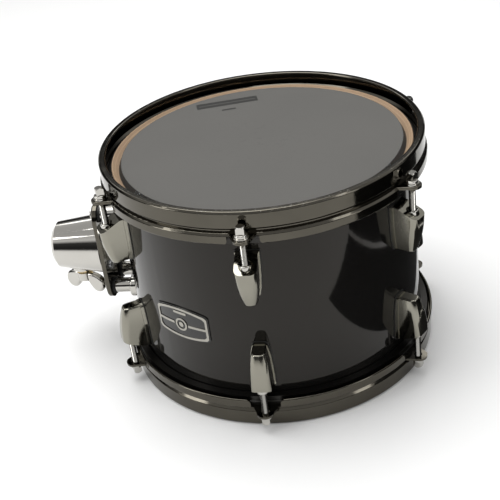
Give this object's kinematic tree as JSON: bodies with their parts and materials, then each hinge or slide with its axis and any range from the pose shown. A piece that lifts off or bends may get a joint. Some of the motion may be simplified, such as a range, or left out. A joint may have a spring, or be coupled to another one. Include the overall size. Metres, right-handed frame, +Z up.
{
  "type": "tom tom drum",
  "caption": "Rack tom with a gloss black shell, inward-rimmed hoops, tapered lugs, tension rods, smoked heads and a clamping receiver for a tom arm.",
  "frame": {"origin": "centre of the plane that the lower hoop stands on, on the drum's axis", "axes": "+Z up along the drum's axis towards the batter head; lug 1 faces -Y; the tom mount faces -X"},
  "size_m": [0.3324, 0.2974, 0.198],
  "materials": {
    "shell_lacquer": "gloss black lacquer on birch plies",
    "smoked_chrome": "smoked chrome plating",
    "black_nickel": "black nickel plating",
    "bright_chrome": "bright chrome plating",
    "head_film": "satin smoked polyester film",
    "flesh_hoop_aluminium": "black anodised",
    "black_rubber": "moulded",
    "grey_resin": "moulded nylon",
    "zinc_steel": "zinc plated",
    "brass_bush": "turned, nickel washed",
    "badge_metal": "chrome relief on black enamel"
  },
  "bodies": {
    "root": {"shell": "shell_lacquer", "vent_grommet": "bright_chrome", "vent_grommet_ring": "bright_chrome", "badge_plate": "badge_metal", "mount_foot_lower": "bright_chrome", "mount_foot_upper": "bright_chrome", "mount_foot_pads": "black_rubber", "mount_foot_screws": "zinc_steel", "mount_foot_washers": "zinc_steel", "mount_plate": "black_nickel", "mount_grommets": "black_rubber", "mount_plate_screws": "bright_chrome", "mount_receiver": "bright_chrome", "receiver_screws": "zinc_steel", "receiver_sleeve": "grey_resin", "wing_bolt_insert": "brass_bush", "batter_lug_gaskets": "black_rubber", "batter_swivel_nuts": "bright_chrome", "batter_lug_screws": "zinc_steel", "batter_lug_screw_washers": "zinc_steel", "batter_lug_1": "smoked_chrome", "batter_lug_2": "smoked_chrome", "batter_lug_3": "smoked_chrome", "batter_lug_4": "smoked_chrome", "batter_lug_5": "smoked_chrome", "batter_lug_6": "smoked_chrome", "reso_lug_gaskets": "black_rubber", "reso_swivel_nuts": "bright_chrome", "reso_lug_screws": "zinc_steel", "reso_lug_screw_washers": "zinc_steel", "reso_lug_1": "smoked_chrome", "reso_lug_2": "smoked_chrome", "reso_lug_3": "smoked_chrome", "reso_lug_4": "smoked_chrome", "reso_lug_5": "smoked_chrome", "reso_lug_6": "smoked_chrome"},
    "batter_head_group": {"batter_head_film": "head_film", "batter_film_collar": "head_film", "batter_flesh_hoop": "flesh_hoop_aluminium", "batter_hoop": "black_nickel", "batter_rod_washers": "bright_chrome"},
    "batter_rod_1_body": {"batter_rod_1": "bright_chrome"},
    "batter_rod_2_body": {"batter_rod_2": "bright_chrome"},
    "batter_rod_3_body": {"batter_rod_3": "bright_chrome"},
    "batter_rod_4_body": {"batter_rod_4": "bright_chrome"},
    "batter_rod_5_body": {"batter_rod_5": "bright_chrome"},
    "batter_rod_6_body": {"batter_rod_6": "bright_chrome"},
    "reso_head_group": {"reso_head_film": "head_film", "reso_film_collar": "head_film", "reso_flesh_hoop": "flesh_hoop_aluminium", "reso_hoop": "black_nickel", "reso_rod_washers": "bright_chrome"},
    "reso_rod_1_body": {"reso_rod_1": "bright_chrome"},
    "reso_rod_2_body": {"reso_rod_2": "bright_chrome"},
    "reso_rod_3_body": {"reso_rod_3": "bright_chrome"},
    "reso_rod_4_body": {"reso_rod_4": "bright_chrome"},
    "reso_rod_5_body": {"reso_rod_5": "bright_chrome"},
    "reso_rod_6_body": {"reso_rod_6": "bright_chrome"},
    "shoe_body": {"clamp_shoe": "zinc_steel"},
    "wing_body": {"wing_bolt": "bright_chrome"}
  },
  "joints": [
    {"name": "batter_head_lift", "type": "slide", "parent": "root", "child": "batter_head_group", "axis": [0, 0, 1], "range_m": [0, 0.01058]},
    {"name": "batter_rod_1_turn", "type": "hinge", "parent": "batter_head_group", "child": "batter_rod_1_body", "pos_m": [0, -0.1409, 0.16], "axis": [0, 0, 1], "range_deg": [0, 3600]},
    {"name": "batter_rod_2_turn", "type": "hinge", "parent": "batter_head_group", "child": "batter_rod_2_body", "pos_m": [0.12202, -0.07045, 0.16], "axis": [0, 0, 1], "range_deg": [0, 3600]},
    {"name": "batter_rod_3_turn", "type": "hinge", "parent": "batter_head_group", "child": "batter_rod_3_body", "pos_m": [0.12202, 0.07045, 0.16], "axis": [0, 0, 1], "range_deg": [0, 3600]},
    {"name": "batter_rod_4_turn", "type": "hinge", "parent": "batter_head_group", "child": "batter_rod_4_body", "pos_m": [0, 0.1409, 0.16], "axis": [0, 0, 1], "range_deg": [0, 3600]},
    {"name": "batter_rod_5_turn", "type": "hinge", "parent": "batter_head_group", "child": "batter_rod_5_body", "pos_m": [-0.12202, 0.07045, 0.16], "axis": [0, 0, 1], "range_deg": [0, 3600]},
    {"name": "batter_rod_6_turn", "type": "hinge", "parent": "batter_head_group", "child": "batter_rod_6_body", "pos_m": [-0.12202, -0.07045, 0.16], "axis": [0, 0, 1], "range_deg": [0, 3600]},
    {"name": "reso_head_lift", "type": "slide", "parent": "root", "child": "reso_head_group", "axis": [0, 0, -1], "range_m": [0, 0.01058]},
    {"name": "reso_rod_1_turn", "type": "hinge", "parent": "reso_head_group", "child": "reso_rod_1_body", "pos_m": [0, -0.1409, 0.038], "axis": [0, 0, -1], "range_deg": [0, 3600]},
    {"name": "reso_rod_2_turn", "type": "hinge", "parent": "reso_head_group", "child": "reso_rod_2_body", "pos_m": [0.12202, -0.07045, 0.038], "axis": [0, 0, -1], "range_deg": [0, 3600]},
    {"name": "reso_rod_3_turn", "type": "hinge", "parent": "reso_head_group", "child": "reso_rod_3_body", "pos_m": [0.12202, 0.07045, 0.038], "axis": [0, 0, -1], "range_deg": [0, 3600]},
    {"name": "reso_rod_4_turn", "type": "hinge", "parent": "reso_head_group", "child": "reso_rod_4_body", "pos_m": [0, 0.1409, 0.038], "axis": [0, 0, -1], "range_deg": [0, 3600]},
    {"name": "reso_rod_5_turn", "type": "hinge", "parent": "reso_head_group", "child": "reso_rod_5_body", "pos_m": [-0.12202, 0.07045, 0.038], "axis": [0, 0, -1], "range_deg": [0, 3600]},
    {"name": "reso_rod_6_turn", "type": "hinge", "parent": "reso_head_group", "child": "reso_rod_6_body", "pos_m": [-0.12202, -0.07045, 0.038], "axis": [0, 0, -1], "range_deg": [0, 3600]},
    {"name": "clamp_shoe_slide", "type": "slide", "parent": "root", "child": "shoe_body", "axis": [0, 0, 1], "range_m": [0, 0.00187]},
    {"name": "wing_bolt_turn", "type": "hinge", "parent": "shoe_body", "child": "wing_body", "pos_m": [-0.1765, 0, 0.065], "axis": [0, 0, 1], "range_deg": [0, 540]}
  ],
  "couplings": [
    {"joint": "batter_rod_1_turn", "follows": "batter_head_lift", "rad_per_m": 5936.9},
    {"joint": "batter_rod_2_turn", "follows": "batter_head_lift", "rad_per_m": 5936.9},
    {"joint": "batter_rod_3_turn", "follows": "batter_head_lift", "rad_per_m": 5936.9},
    {"joint": "batter_rod_4_turn", "follows": "batter_head_lift", "rad_per_m": 5936.9},
    {"joint": "batter_rod_5_turn", "follows": "batter_head_lift", "rad_per_m": 5936.9},
    {"joint": "batter_rod_6_turn", "follows": "batter_head_lift", "rad_per_m": 5936.9},
    {"joint": "reso_rod_1_turn", "follows": "reso_head_lift", "rad_per_m": 5936.9},
    {"joint": "reso_rod_2_turn", "follows": "reso_head_lift", "rad_per_m": 5936.9},
    {"joint": "reso_rod_3_turn", "follows": "reso_head_lift", "rad_per_m": 5936.9},
    {"joint": "reso_rod_4_turn", "follows": "reso_head_lift", "rad_per_m": 5936.9},
    {"joint": "reso_rod_5_turn", "follows": "reso_head_lift", "rad_per_m": 5936.9},
    {"joint": "reso_rod_6_turn", "follows": "reso_head_lift", "rad_per_m": 5936.9},
    {"joint": "wing_bolt_turn", "follows": "clamp_shoe_slide", "rad_per_m": 5026.5}
  ]
}
